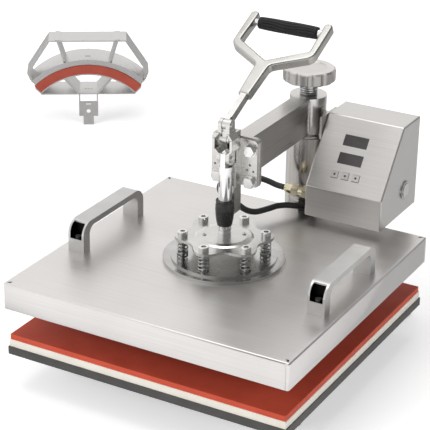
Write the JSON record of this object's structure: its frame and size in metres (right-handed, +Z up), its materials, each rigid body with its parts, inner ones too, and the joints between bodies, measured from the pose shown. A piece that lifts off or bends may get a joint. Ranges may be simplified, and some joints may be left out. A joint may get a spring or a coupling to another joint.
{
  "type": "heat press",
  "caption": "Swing-away heat press with a square spring-hung platen, toggle hand lever, pressure knob and control box, with a loose curved cap attachment beside it.",
  "frame": {"origin": "on the floor under the centre of the square platens", "axes": "+Z up, +Y towards the post, +X to the right of a user who faces the control panel"},
  "size_m": [0.9249, 0.9179, 0.4159],
  "materials": {
    "brushed_stainless": "brushed along the sheet",
    "plated_steel": "satin plated",
    "satin_steel": "satin cast",
    "steel_fastener": "bright",
    "spring_steel": "bright wire",
    "chrome": "polished",
    "satin_aluminium": "satin anodised",
    "cast_aluminium": "coated",
    "brass": "nickel plated",
    "bronze": "plain",
    "black_steel": "satin black",
    "black_rubber": "matte",
    "red_silicone": "matte",
    "cream_sponge": "matte",
    "black_plastic": "satin",
    "pale_plastic": "satin",
    "circuit_green": "matte",
    "display_glass": "dark gloss"
  },
  "bodies": {
    "base": {"base_frame": "black_steel", "rubber_feet": "black_rubber", "tray_standoffs": "steel_fastener", "lower_tray": "black_steel", "sponge_layer": "cream_sponge", "silicone_pad": "red_silicone", "post": "brushed_stainless", "post_bolts": "steel_fastener", "post_bushes": "bronze"},
    "shaft": {"swing_shaft": "chrome", "shaft_key": "steel_fastener"},
    "knob": {"knob": "satin_steel", "spindle": "steel_fastener"},
    "arm": {"arm_sleeve": "brushed_stainless", "sleeve_cap": "brushed_stainless", "arm_beam": "brushed_stainless", "arm_end_plate": "brushed_stainless", "clamp_bracket": "plated_steel", "clamp_bolts": "steel_fastener", "pivot_pin": "steel_fastener", "rod_barrel": "black_plastic", "box_bracket": "brushed_stainless", "box_shell": "brushed_stainless", "box_back": "brushed_stainless", "box_screws": "steel_fastener", "display_windows": "display_glass", "circuit_board": "circuit_green", "power_bezel": "chrome", "cable_gland": "brass", "power_inlet": "black_plastic", "heater_cable": "black_rubber"},
    "key_left": {"key_left": "pale_plastic"},
    "key_middle": {"key_middle": "pale_plastic"},
    "key_right": {"key_right": "pale_plastic"},
    "power_button": {"power_button": "satin_steel"},
    "hand_lever": {"lever": "plated_steel", "hand_frame": "satin_steel", "grip_rod": "chrome", "grip": "black_rubber"},
    "links": {"link_left": "plated_steel", "link_right": "plated_steel", "link_pins": "steel_fastener"},
    "plunger": {"plunger_rod": "chrome", "star_plate": "plated_steel", "hub_plate": "plated_steel"},
    "platen": {"platen_cover": "brushed_stainless", "heating_plate": "cast_aluminium", "insulation": "cream_sponge", "mount_disc": "plated_steel", "suspension_bolts": "steel_fastener", "suspension_springs": "spring_steel", "handle_left": "satin_aluminium", "handle_right": "satin_aluminium", "handle_screws": "steel_fastener", "cable_hood": "black_plastic"},
    "cap_form": {"cap_form": "brushed_stainless", "cap_pad": "red_silicone", "cap_bracket": "brushed_stainless"},
    "cap_heater": {"cap_heater": "brushed_stainless", "cap_bridge": "brushed_stainless"}
  },
  "joints": [
    {"name": "arm_swing", "type": "hinge", "parent": "base", "child": "shaft", "pos_m": [0, 0.23, 0.15], "axis": [0, 0, 1], "range_deg": [0, 100]},
    {"name": "knob_turn", "type": "hinge", "parent": "shaft", "child": "knob", "pos_m": [0, 0.23, 0.32], "axis": [0, 0, 1], "range_deg": [-1801, 121]},
    {"name": "arm_height", "type": "slide", "parent": "shaft", "child": "arm", "axis": [0, 0, 1], "range_m": [-0.001, 0.015]},
    {"name": "lever_swing", "type": "hinge", "parent": "arm", "child": "hand_lever", "pos_m": [0, 0.005, 0.307], "axis": [1, 0, 0], "range_deg": [0, 150]},
    {"name": "link_turn", "type": "hinge", "parent": "hand_lever", "child": "links", "pos_m": [0, 0.005, 0.326], "axis": [1, 0, 0], "range_deg": [-137.6, 0]},
    {"name": "plunger_slide", "type": "slide", "parent": "arm", "child": "plunger", "axis": [0, 0, 1], "range_m": [-0.0345, 0]},
    {"name": "platen_float", "type": "slide", "parent": "plunger", "child": "platen", "axis": [0, 0, 1], "range_m": [0, 0.003], "stiffness_N_per_m": 20000, "springref_m": -0.006, "deforming": ["suspension_springs"]},
    {"name": "press_left", "type": "slide", "parent": "arm", "child": "key_left", "axis": [0, 0.7941, -0.6078], "range_m": [0, 0.001], "stiffness_N_per_m": 400, "springref_m": -0.001},
    {"name": "press_middle", "type": "slide", "parent": "arm", "child": "key_middle", "axis": [0, 0.7941, -0.6078], "range_m": [0, 0.001], "stiffness_N_per_m": 400, "springref_m": -0.001},
    {"name": "press_right", "type": "slide", "parent": "arm", "child": "key_right", "axis": [0, 0.7941, -0.6078], "range_m": [0, 0.001], "stiffness_N_per_m": 400, "springref_m": -0.001},
    {"name": "press_power", "type": "slide", "parent": "arm", "child": "power_button", "axis": [-1, 0, 0], "range_m": [0, 0.002], "stiffness_N_per_m": 500, "springref_m": -0.001},
    {"name": "cap_form_lift", "type": "slide", "parent": "base", "child": "cap_form", "axis": [0, 0, 1], "range_m": [0, 0.15]},
    {"name": "cap_heater_lift", "type": "slide", "parent": "cap_form", "child": "cap_heater", "axis": [0, 0, 1], "range_m": [0, 0.08]}
  ],
  "couplings": [
    {"joint": "knob_turn", "follows": "arm_height", "rad_per_m": -2094.4},
    {"joint": "link_turn", "follows": "lever_swing", "ratio": -0.91687},
    {"joint": "plunger_slide", "follows": "lever_swing", "m_per_rad": -0.013146}
  ]
}
